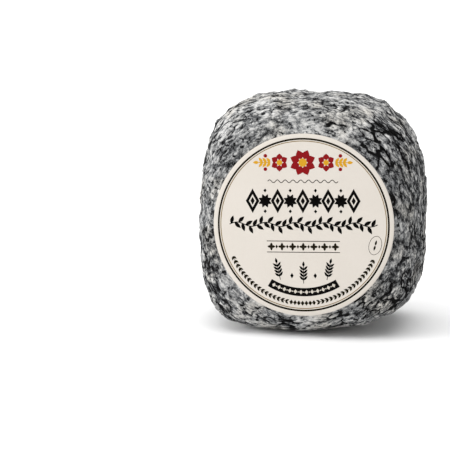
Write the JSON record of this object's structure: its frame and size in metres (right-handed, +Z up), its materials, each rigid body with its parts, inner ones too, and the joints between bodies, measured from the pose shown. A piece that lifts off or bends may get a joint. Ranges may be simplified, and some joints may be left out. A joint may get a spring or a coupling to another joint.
{
  "type": "robiola cheese",
  "caption": "Whole ash-ripened goat cheese: a squarish drum with a wrinkled grey rind, standing on its rounded side, with a round paper label on one flat face.",
  "frame": {"origin": "under the middle of the whole, on the surface that the cheese stands on", "axes": "+Z up, -Y towards the labelled face, +X to the right of the label as it is read; Y is the axis of the drum"},
  "size_m": [0.1004, 0.0621, 0.103],
  "materials": {
    "ash_rind": "dry wrinkled rind, white and grey mould bloom over black ash",
    "label_paper": "uncoated cream paper with a plain printed design"
  },
  "bodies": {
    "root": {"cheese": "ash_rind", "label": "label_paper"}
  },
  "joints": []
}
